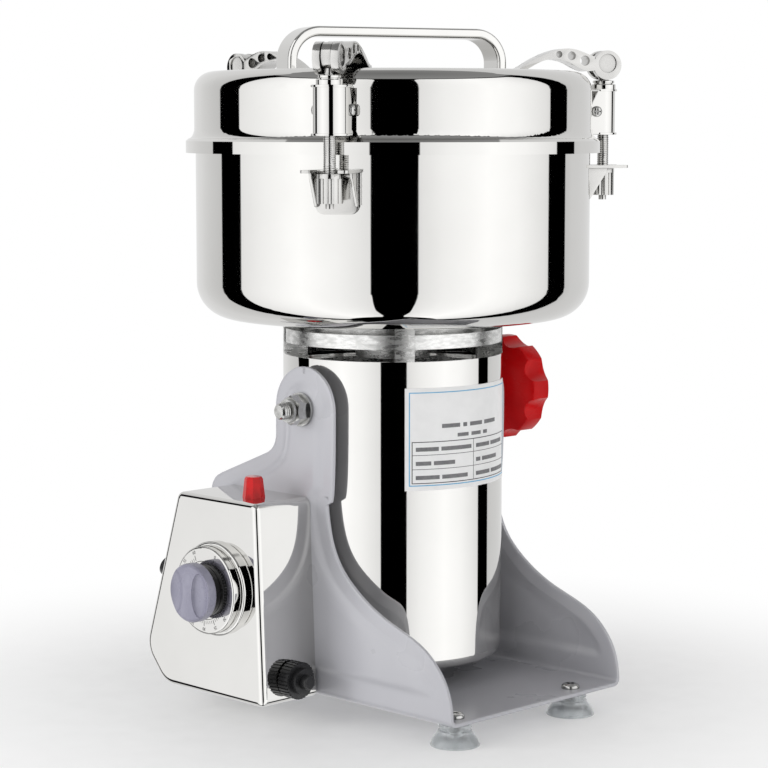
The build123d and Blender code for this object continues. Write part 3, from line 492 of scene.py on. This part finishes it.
def add_thread(work, radius, length, pitch, place):
    """A helical ridge about local +Z, tapered out at both ends."""
    count = round(length / pitch * THREAD_STEPS)
    rings = []
    for n in range(count + 1):
        turn = 2 * math.pi * n / THREAD_STEPS
        fade = 0.3 + 0.7 * min(1, 2 * n / THREAD_STEPS, 2 * (count - n) / THREAD_STEPS)
        ring = []
        for side in range(THREAD_SIDES):
            around = 2 * math.pi * side / THREAD_SIDES
            out = radius + THREAD_DEPTH * fade * math.cos(around)
            up = length * n / count + 0.36 * pitch * fade * math.sin(around)
            ring.append(place @ Vector((out * math.cos(turn), out * math.sin(turn), up)))
        rings.append(ring)
    add_rings(work, rings)


# ---- cradle: one pressed sheet with soft-edged panels ----
SHEET = 2.0           # thickness
PANEL = 1.5           # how far a panel stands out
PANEL_RIM = 7.0       # from the arm's edge to the foot of the slope
PANEL_SLOPE = 4.8     # width of the slope
PANEL_FOOT = 12.0     # above the sheet's underside
PANEL_BLEND = 5.0     # rounding of the panel's lower corners
BEND = 4.0            # outer radius between an arm and the plate
BEND_ROWS = 6
PLATE_ROWS = 10
TOP_ROWS = 16         # over the round top of an arm
TOP_CROWDING = 1.2    # closer rows towards its tip
ROW_STEP = 1.6
RIM_EASE = ((0.18, 0.18), (0.0, 0.6), (0.0, SHEET - 0.6), (0.18, SHEET - 0.18))
EDGE_IN = (0.6, 1.8, 3.5)                      # first columns, from each edge inward
EDGE_COLUMNS = (0, 1.5, 3, 4.5, 6, 8, 10)      # the next ones
EDGE_REACH = 12       # the columns draw closer where half the sheet is narrower than this
INNER_COLUMNS = 12
RAY_START = 50        # outside the sheet, for the rays that find its edges
PIVOT_HOLE_R = 4.05
FOOT_HOLE_R = 2.65
CUT_PAST = 3          # how far a cutter stands out of the sheet


def arm_outline_rows():
    """(height, front Y, back Y) from the tip of an arm down to its bend."""
    low, high = box_mm("cradle")
    source = NODES["cradle"].data
    tree = BVHTree.FromPolygons([v.co / MM for v in source.vertices],
                                [p.vertices for p in source.polygons])
    pivot = middle_mm("lock_stud")
    tab = high.z - pivot.z
    rows = []
    for n in range(1, TOP_ROWS + 1):
        turn = math.pi / 2 * (n / TOP_ROWS) ** TOP_CROWDING
        across = tab * math.sin(turn)
        rows.append((pivot.z + tab * math.cos(turn), pivot.y - across, pivot.y + across))
    x = low.x + PANEL + SHEET / 2
    count = round((pivot.z - low.z - BEND) / ROW_STEP)
    for n in range(1, count + 1):
        height = pivot.z + (low.z + BEND - pivot.z) * n / count
        front = tree.ray_cast((x, low.y - RAY_START, height), (0, 1, 0))[0].y
        back = tree.ray_cast((x, high.y + RAY_START, height), (0, -1, 0))[0].y
        rows.append((height, front, back))
    return rows


def inward(rows, row, side):
    """In-plane direction from an arm's edge into the sheet, as (Y, Z)."""
    above, below = rows[max(row - 1, 0)], rows[min(row + 1, len(rows) - 1)]
    along = Vector((below[side] - above[side], below[0] - above[0])).normalized()
    return Vector((-along.y, along.x)) if side == 1 else Vector((along.y, -along.x))


def spread(start, end):
    """Points across the sheet between its two eased edges, closer near the edges."""
    width = (end - start).length
    squeeze = min(1, width / 2 / EDGE_REACH)
    places = [d * squeeze / width for d in EDGE_COLUMNS]
    inner = [places[-1] + (1 - 2 * places[-1]) * n / (INNER_COLUMNS + 1)
             for n in range(1, INNER_COLUMNS + 1)]
    places += inner + [1 - p for p in reversed(places)]
    return [start.lerp(end, p) for p in places]


def panel_height(points, outline, base):
    """How far the pressed panel stands out of the sheet at (Y, Z) points."""
    away = np.min(np.linalg.norm(points[:, None, :] - outline[None, :, :], axis=2), axis=1)
    first, second = away - PANEL_RIM, points[:, 1] - base - PANEL_FOOT
    share = np.clip(0.5 + (second - first) / PANEL_BLEND / 2, 0, 1)
    depth = second * (1 - share) + first * share - PANEL_BLEND * share * (1 - share)
    rise = np.clip(depth / PANEL_SLOPE, 0, 1)
    return PANEL * rise * rise * (3 - 2 * rise)


def sheet_ring(columns, front, back, in_front, in_back, place):
    """Outer face, back rim, inner face and front rim of one row of the sheet."""
    ring = [place(point, 0) for point in columns]
    ring += [place(back + in_back * reach, depth) for reach, depth in RIM_EASE]
    ring += [place(point, SHEET) for point in reversed(columns)]
    ring += [place(front + in_front * reach, depth) for reach, depth in reversed(RIM_EASE)]
    return ring


def sheet_columns(front, back, in_front, in_back):
    """Points across one row of the sheet, from its front edge to its back edge."""
    near = [front + in_front * d for d in EDGE_IN]
    far = [back + in_back * d for d in reversed(EDGE_IN)]
    return near[:-1] + spread(near[-1], far[0]) + far[1:]


def make_cradle():
    low, high = box_mm("cradle")
    half = (high.x - low.x) / 2 - PANEL
    hub = (high.x + low.x) / 2
    rows = arm_outline_rows()
    outline = np.array([(r[side], r[0]) for side in (1, 2) for r in rows])

    def arm_rings(sign):
        rings = []
        for number, (height, front_y, back_y) in enumerate(rows):
            front, back = Vector((front_y, height)), Vector((back_y, height))
            in_front, in_back = inward(rows, number, 1), inward(rows, number, 2)
            columns = sheet_columns(front, back, in_front, in_back)
            rise = panel_height(np.array([tuple(c) for c in columns]), outline, low.z)
            heights = {tuple(c): h for c, h in zip(columns, rise)}

            def place(point, depth):
                out = half - depth + heights.get(tuple(point), 0.0)
                return (hub + sign * out, point.x, point.y)
            rings.append(sheet_ring(columns, front, back, in_front, in_back, place))
        return rings

    def flat_ring(x, z, normal, height):
        """A row of the bends or the plate, whose edges run straight along Y."""
        front, back = Vector((low.y, 0)), Vector((high.y, 0))
        if height:
            front.x += (rows[-1][1] - low.y) * height / BEND
            back.x += (rows[-1][2] - high.y) * height / BEND
        ahead = Vector((1, 0))
        columns = sheet_columns(front, back, ahead, -ahead)

        def place(point, depth):
            return (x - normal[0] * depth, point.x, z - normal[1] * depth)
        return sheet_ring(columns, front, back, ahead, -ahead, place)

    def bend_rings(sign):
        rings = []
        for n in range(1, BEND_ROWS + 1):
            turn = math.pi / 2 * n / BEND_ROWS
            normal = (sign * math.cos(turn), -math.sin(turn))
            height = BEND * (1 - math.sin(turn))
            rings.append(flat_ring(hub + sign * (half - BEND) + BEND * normal[0],
                                   low.z + height, normal, height))
        return rings

    flat = [flat_ring(hub + (half - BEND) * (2 * n / PLATE_ROWS - 1), low.z, (0, -1), 0)
            for n in range(1, PLATE_ROWS)]
    left, right = arm_rings(-1) + bend_rings(-1), arm_rings(1) + bend_rings(1)
    work = bmesh.new()
    add_rings(work, left + flat + right[::-1])

    cutter = bmesh.new()
    pivot = middle_mm("lock_stud")
    across = (Matrix.Translation((low.x - CUT_PAST, pivot.y, pivot.z))
              @ Matrix.Rotation(math.pi / 2, 4, "Y"))
    length = high.x - low.x + 2 * CUT_PAST
    add_turned(cutter, ((PIVOT_HOLE_R, 0), (PIVOT_HOLE_R, length)), across)
    hole = ((FOOT_HOLE_R, -CUT_PAST), (FOOT_HOLE_R, SHEET + CUT_PAST))
    for x in FOOT_X:
        for y in FOOT_Y:
            add_turned(cutter, hole, Matrix.Translation((x, y, low.z)), 32)
    piece("cradle_sheet", cut_away(work, cutter), "cradle", "cradle_paint", replaces="cradle")


# ---- feet ----
FEET_LOW, FEET_HIGH = box_mm("suction_feet")
FOOT_R = 12.0
FOOT_X = (FEET_LOW.x + FOOT_R, FEET_HIGH.x - FOOT_R)
FOOT_Y = (FEET_LOW.y + FOOT_R, FEET_HIGH.y - FOOT_R)


FLARE_TOP_R = 8.2
FLARE_OUT = 3.4
FLARE_DROP = 3.8      # from the foot's top to the start of its flare
FLARE_LOW = 0.7
FLARE_STEPS = 8


def make_feet():
    """Soft suction cups: a grooved stem that flares to a thin lip."""
    top = FEET_HIGH.z
    profile = [(3.0, top), (7.4, top), (8.0, top - 0.6), (8.0, top - 2.0), (7.2, top - 2.4),
               (7.2, top - 3.2), (FLARE_TOP_R, top - FLARE_DROP)]
    for n in range(1, FLARE_STEPS + 1):
        share = n / FLARE_STEPS
        profile.append((FLARE_TOP_R + FLARE_OUT * math.sin(share * math.pi / 2) ** 1.6,
                        (top - FLARE_DROP) * (1 - share) + FLARE_LOW * share))
    profile += [(FOOT_R, 0.45), (FOOT_R, 0.1), (FOOT_R - 0.2, 0.0), (FOOT_R - 1.4, 0.0),
                (FOOT_R - 2.0, 0.8), (7.0, 3.0), (3.0, 4.0)]
    work = bmesh.new()
    for x in FOOT_X:
        for y in FOOT_Y:
            add_turned(work, profile, Matrix.Translation((x, y, 0)), 56, hollow=True)
    piece("foot_cups", work, "cradle", "foot_pvc", replaces="suction_feet")


# ---- rating label: borders, a table and plain bars where words would be ----
FILM_LOW = box_mm("nameplate")[0]
FILM_SPAN = 78.0      # degrees of the barrel that the film covers
FILM_W = 76.2
FILM_R = middle_mm("motor_barrel").y - FILM_LOW.y
PRINT_T = 0.06
PRINT_SUNK = 0.05
PRINT_STEP = 1.2
BORDER = (2.0, 74.2, 2.2, 48.6)    # left, right, low and high
BORDER_LINE = 0.5
TABLE = (3.4, 72.8, 3.4, 24.2)
TABLE_LINE = 0.4
RULE_LINE = 0.25
ROW_RULES = (10.4, 17.4)
COLUMN_RULE = 38.4
WORD_ROWS = (    # ends of each bar, low and high
    ((19.0, 29.5, 31.5, 34.0, 36.0, 45.0, 47.0, 58.0), 30.6, 32.6),
    ((28.0, 35.0, 37.0, 44.0, 46.0, 49.5), 25.8, 27.6),
)
CELLS = (        # left end, gap and right end of each table cell's bars
    (5.4, 18.0, 37.0), (5.4, 14.0, 26.5), (5.4, 18.5, 34.5),
    (40.4, 52.5, 68.0), (40.4, 44.5, 60.0), (40.4, 53.0, 71.0),
)
CELL_TOP = 19.4
CELL_STEP = 7.0
CELL_BAR = 2.0
HALF_GAP = 0.7


def add_print(work, left, right, low, high):
    """A thin printed patch, in millimetres from the film's lower left corner."""
    hub = middle_mm("motor_barrel")
    steps = max(2, round((right - left) / PRINT_STEP))
    rings = []
    for n in range(steps + 1):
        along = left + (right - left) * n / steps
        turn = math.radians(-90 + FILM_SPAN * (along / FILM_W - 0.5))
        across = Vector((math.cos(turn), math.sin(turn), 0))
        ring = []
        for reach, up in ((-PRINT_SUNK, low), (PRINT_T, low), (PRINT_T, high),
                          (-PRINT_SUNK, high)):
            ring.append(Vector((hub.x, hub.y, FILM_LOW.z + up)) + across * (FILM_R + reach))
        rings.append(ring)
    add_rings(work, rings)


def add_frame(work, left, right, low, high, line):
    add_print(work, left, right, low, low + line)
    add_print(work, left, right, high - line, high)
    add_print(work, left, left + line, low + line, high - line)
    add_print(work, right - line, right, low + line, high - line)


def make_label():
    border = bmesh.new()
    add_frame(border, *BORDER, BORDER_LINE)
    piece("label_border", border, "motor", "label_film", BLUE_INK)
    table = bmesh.new()
    add_frame(table, *TABLE, TABLE_LINE)
    left, right, low, high = TABLE
    for height in ROW_RULES:
        add_print(table, left + TABLE_LINE, right - TABLE_LINE, height, height + RULE_LINE)
    add_print(table, COLUMN_RULE, COLUMN_RULE + RULE_LINE, low + TABLE_LINE, high - TABLE_LINE)
    piece("label_table", table, "motor", "label_film", INK)
    bars = bmesh.new()
    for words, low, high in WORD_ROWS:
        for left, right in zip(words[::2], words[1::2]):
            add_print(bars, left, right, low, high)
    for n, (left, gap, right) in enumerate(CELLS):
        low = CELL_TOP - CELL_STEP * (n % 3)
        add_print(bars, left, gap - HALF_GAP, low, low + CELL_BAR)
        add_print(bars, gap + HALF_GAP, right, low, low + CELL_BAR)
    piece("label_bars", bars, "motor", "label_film", GREY_INK)


# ---- timer dial: a ring, minute ticks and numbers ----
DIAL_START = 65       # degrees, where the dial's zero is
MINUTE = 5.2          # degrees
MINUTES = 60
TICK_IN = 15.2
LONG_TICK = (2.6, 0.16)    # length and half width, at every fifth minute
SHORT_TICK = (1.5, 0.1)
TICK_T = 0.05
NUMBER_IN = 19.3
NUMBER_SIZE = 2.3
DIAL_RING = ((14.3, 0.0), (14.3, 0.06), (14.6, 0.06), (14.6, 0.0))


def make_dial():
    low, high = box_mm("timer_bezel")
    hub = (low + high) / 2
    face = Matrix(((0, 0, -1, low.x), (-1, 0, 0, hub.y), (0, 1, 0, hub.z), (0, 0, 0, 1)))
    work = bmesh.new()
    for n in range(MINUTES + 1):
        turn = math.radians(DIAL_START - MINUTE * n)
        length, wide = SHORT_TICK if n % 5 else LONG_TICK
        tick = Matrix.Rotation(turn, 4, "Z") @ Matrix.Translation((TICK_IN, 0, 0))
        outline = ((0, -wide), (length, -wide), (length, wide), (0, wide))
        add_prism(work, outline, TICK_T, face @ tick)
    for n in range(0, MINUTES + 1, 5):
        turn = math.radians(DIAL_START - MINUTE * n)
        curve = bpy.data.curves.new("scratch", "FONT")
        curve.body, curve.size, curve.extrude = str(n), NUMBER_SIZE, TICK_T / 2
        curve.align_x, curve.align_y = "CENTER", "CENTER"
        holder = bpy.data.objects.new("scratch", curve)
        bpy.context.scene.collection.objects.link(holder)
        number = bmesh.new()
        number.from_mesh(holder.to_mesh())
        holder.to_mesh_clear()
        bpy.data.objects.remove(holder)
        bpy.data.curves.remove(curve)
        spin = Matrix.Rotation(turn, 4, "Z") @ Matrix.Translation((NUMBER_IN, 0, TICK_T / 2))
        number.transform(face @ spin @ Matrix.Rotation(-math.pi / 2, 4, "Z"))
        join(work, number)
    piece("dial_marks", work, "cradle", "black_plastic", INK)
    ring = bmesh.new()
    add_turned(ring, DIAL_RING, face, 72, hollow=True)
    piece("dial_ring", ring, "cradle", "black_plastic", INK)


# ---- screw threads ----
ROD_THREAD = (2.7, 1.0)        # radius and pitch
PIVOT_THREAD = (3.9, 1.25)
PIVOT_THREAD_IN = 0.9          # from the bolt's end
PIVOT_THREAD_L = 4.0
THREAD_STOP = 0.3              # short of the housing


def make_threads():
    for number in (1, 2, 3):
        nut_low, nut_high = box_mm(f"clamp_nut_{number}")
        hub = (nut_low + nut_high) / 2
        top = box_mm(f"clamp_housing_{number}")[0].z - THREAD_STOP
        work = bmesh.new()
        radius, pitch = ROD_THREAD
        place = Matrix.Translation((hub.x, hub.y, nut_high.z))
        add_thread(work, radius, top - nut_high.z, pitch, place)
        piece(f"rod_thread_{number}", work, f"rod_{number}", "bright_steel")
    low, high = box_mm("pivot_fasteners")
    hub = (low + high) / 2
    work = bmesh.new()
    place = (Matrix.Translation((low.x + PIVOT_THREAD_IN, hub.y, hub.z))
             @ Matrix.Rotation(math.pi / 2, 4, "Y"))
    radius, pitch = PIVOT_THREAD
    add_thread(work, radius, PIVOT_THREAD_L, pitch, place)
    piece("pivot_thread", work, "motor", "screw_steel")


# ---- copies of CAD nodes with broken edges ----
WELD_DIST = 0.002
FLAT_ANGLE = 0.6      # degrees, below which neighbouring faces become one
EASE_ANGLE = 38       # degrees, above which an edge is broken


def add_eased(node, name, body, slot, edge):
    """A copy of a CAD node with its sharp edges rounded."""
    work = bmesh.new()
    work.from_mesh(NODES[node].data)
    work.transform(Matrix.Scale(1 / MM, 4))
    bmesh.ops.remove_doubles(work, verts=work.verts, dist=WELD_DIST)
    bmesh.ops.dissolve_limit(work, angle_limit=math.radians(FLAT_ANGLE), verts=work.verts,
                             edges=work.edges)
    crisp = [e for e in work.edges if e.calc_face_angle(0) > math.radians(EASE_ANGLE)]
    bmesh.ops.bevel(work, geom=crisp, offset=edge, segments=3, profile=0.5, affect="EDGES",
                    clamp_overlap=True)
    piece(name, work, body, slot, replaces=node)


# ---- clamps, drawn outward along local +X ----
HOUSING_WALL = 1.2
HOUSING_HALF = 8.5
FLANGE_OUT = 1.0
HINGE_IN = 6.7        # hinge screws, inward from the rod
HINGE_UP = 11.9       # and above the housing's underside
HOUSING_FRONT = 5.9   # outward from the rod
SHELL_H = 23.4        # from the underside to the collar's foot
SHELL_IN = 0.4        # the shell's ends, inside the flanges
FLANGE_EASE = 0.35
SCREW_HEAD = ((1.5, -5.5), (1.5, 0), (2.8, 0), (2.8, 0.7), (2.5, 1.35), (1.8, 1.8), (0.8, 2.0))
CROSS_LONG = 1.7
CROSS_WIDE = 0.35
CROSS_FLOOR = 1.1


def clamp_place(number):
    """The clamp's own frame: the rod's axis is its Z, and its X points away from the bowl."""
    nut = middle_mm(f"clamp_nut_{number}")
    hub = middle_mm("motor_barrel")
    turn = math.atan2(nut.y - hub.y, nut.x - hub.x)
    return Matrix.Translation((nut.x, nut.y, 0)) @ Matrix.Rotation(turn, 4, "Z")


def bow(inner, half, hub, segments=20):
    """A U outline that opens towards the bowl: two cheeks and a half-round front."""
    points = [(inner, -half)]
    for n in range(segments + 1):
        turn = math.pi * (n / segments - 0.5)
        points.append((hub + half * math.cos(turn), half * math.sin(turn)))
    return points + [(inner, half)]


def make_housing(number):
    low, high = (corner.z for corner in box_mm(f"clamp_housing_{number}"))
    place = clamp_place(number)
    shell_top = low + SHELL_H
    hub = HOUSING_FRONT - HOUSING_HALF
    work = bmesh.new()
    rings = []
    # height, and how far the cheeks reach past the hinge towards the bowl
    rows = ((low + SHELL_IN, 2.0), (low + HINGE_UP - 6.0, 3.0), (low + HINGE_UP - 3.0, 3.4),
            (low + HINGE_UP + 1.0, 3.4), (low + HINGE_UP + 4.0, 2.2),
            (shell_top - SHELL_IN, -1.4))
    for height, reach in rows:
        inner = -HINGE_IN - reach
        outer = bow(inner, HOUSING_HALF, hub)
        inside = bow(inner, HOUSING_HALF - HOUSING_WALL, hub)
        rings.append([place @ Vector((x, y, height)) for x, y in outer + inside[::-1]])
    add_rings(work, rings)
    flange = bow(-HINGE_IN + 1.8, HOUSING_HALF + FLANGE_OUT, hub, 28)
    for height in (low, shell_top - HOUSING_WALL):
        level = Matrix.Translation((0, 0, height))
        add_prism(work, flange, HOUSING_WALL, place @ level, FLANGE_EASE)
    collar = ((5.4, shell_top - 0.2), (6.3, shell_top - 0.2), (6.3, high - 2.2), (6.0, high - 1.8),
              (5.0, high - 1.8), (5.0, high - 1.4), (5.6, high - 1.2), (5.6, high - 0.25),
              (5.3, high), (3.0, high), (3.0, shell_top - 0.2))
    add_turned(work, collar, place, 40, hollow=True)
    piece(f"housing_{number}", work, f"clamp_{number}", "mirror_steel",
          replaces=f"clamp_housing_{number}")

    screws = bmesh.new()
    for side in (-1, 1):
        out = (Matrix.Translation((-HINGE_IN, side * HOUSING_HALF, low + HINGE_UP))
               @ Matrix.Rotation(-side * math.pi / 2, 4, "X"))
        head = bmesh.new()
        add_turned(head, SCREW_HEAD, place @ out, 28)
        for long, wide in ((CROSS_LONG, CROSS_WIDE), (CROSS_WIDE, CROSS_LONG)):
            bar = ((-long, -wide), (long, -wide), (long, wide), (-long, wide))
            cutter = bmesh.new()
            add_prism(cutter, bar, 2, place @ out @ Matrix.Translation((0, 0, CROSS_FLOOR)))
            head = cut_away(head, cutter)
        join(screws, head)
    piece(f"hinge_screws_{number}", screws, f"clamp_{number}", "screw_steel")


# ---- ears on the bowl, each drawn in its clamp's own frame ----
BOWL_R = 99.6
EAR_T = 1.5
EAR_HALF = 11.65
EAR_OUT = 10.3        # outer edge of the ear, outward from the rod
EAR_SLOT = 6.6        # half the slot's width
EAR_EASE = 0.25
GUSSET_IN = 1.0       # from the ear's side to the gusset
GUSSET_EASE = 0.2
BEAD_R = 0.75
BEAD_RIPPLE = 0.12
BEAD_ROWS = 15
BEAD_SIDES = 8


def make_ears():
    """Slotted plates with a back against the bowl and a gusset at each side."""
    low, high = (corner.z for corner in box_mm("clamp_ears"))
    nut = middle_mm("clamp_nut_1")
    hub = middle_mm("motor_barrel")
    wall = BOWL_R - (nut.xy - hub.xy).length
    work = bmesh.new()
    welds = bmesh.new()
    for number in (1, 2, 3):
        place = clamp_place(number)
        slot = [(EAR_OUT, -EAR_SLOT, 0.6), (-EAR_SLOT, -EAR_SLOT, 5.5),
                (-EAR_SLOT, EAR_SLOT, 5.5), (EAR_OUT, EAR_SLOT, 0.6)]
        plate = rounded([(wall - 0.8, EAR_HALF, 0), (wall - 0.8, -EAR_HALF, 0),
                         (EAR_OUT, -EAR_HALF, 2.2)] + slot + [(EAR_OUT, EAR_HALF, 2.2)])
        add_prism(work, plate, EAR_T, place @ Matrix.Translation((0, 0, high - EAR_T)), EAR_EASE)
        upright = place @ Matrix(((0, 0, 1, wall - 0.6), (1, 0, 0, 0), (0, 1, 0, 0), (0, 0, 0, 1)))
        half = EAR_HALF - GUSSET_IN
        back = rounded([(-half, high - 0.4, 0), (-half, low, 4.5), (half, low, 4.5),
                        (half, high - 0.4, 0)])
        add_prism(work, back, EAR_T + 0.6, upright, GUSSET_EASE)
        for side in (-1, 1):
            start = side * half - (EAR_T if side > 0 else 0)
            beside = place @ Matrix(((1, 0, 0, 0), (0, 0, 1, start), (0, 1, 0, 0), (0, 0, 0, 1)))
            gusset = rounded([(wall - 0.4, high - 0.5, 0), (wall - 0.4, low + 3.5, 0),
                              (wall + 2.6, low + 3.5, 1.2), (-2.0, high - 4.2, 2.5),
                              (-1.0, high - 0.5, 0)])
            add_prism(work, gusset, EAR_T, beside, GUSSET_EASE)
            bead = []
            for n in range(BEAD_ROWS):
                height = low + 4.5 + (high - low - 5.5) * n / (BEAD_ROWS - 1)
                size = BEAD_R + BEAD_RIPPLE * math.sin(2.4 * n + number)
                ring = []
                for around in range(BEAD_SIDES):
                    turn = 2 * math.pi * around / BEAD_SIDES
                    ring.append(place @ Vector((wall - 0.35 + size * math.cos(turn),
                                                side * (half + 0.1) + size * math.sin(turn),
                                                height)))
                bead.append(ring)
            add_rings(welds, bead)
    piece("bowl_ears", work, "motor", "bright_steel", replaces="clamp_ears")
    piece("ear_welds", welds, "motor", "bright_steel", sharp=70)


add_camera()
add_studio()
add_floor()
add_light("side", (-1.4, 0.75, 0.5), (0, 0, 0.1), 0.7, 8.0)
dress_nodes()
make_cradle()
make_feet()
make_label()
make_dial()
make_threads()
for clamp in (1, 2, 3):
    make_housing(clamp)
    add_eased(f"clamp_lever_{clamp}", f"lever_{clamp}", f"lever_{clamp}", "bright_steel", 0.7)
    add_eased(f"clamp_nut_{clamp}", f"nut_{clamp}", f"rod_{clamp}", "bright_steel", 0.3)
add_eased("lock_knob", "star_knob", "lock_wheel", "red_plastic", 0.9)
make_ears()

bpy.context.view_layer.update()
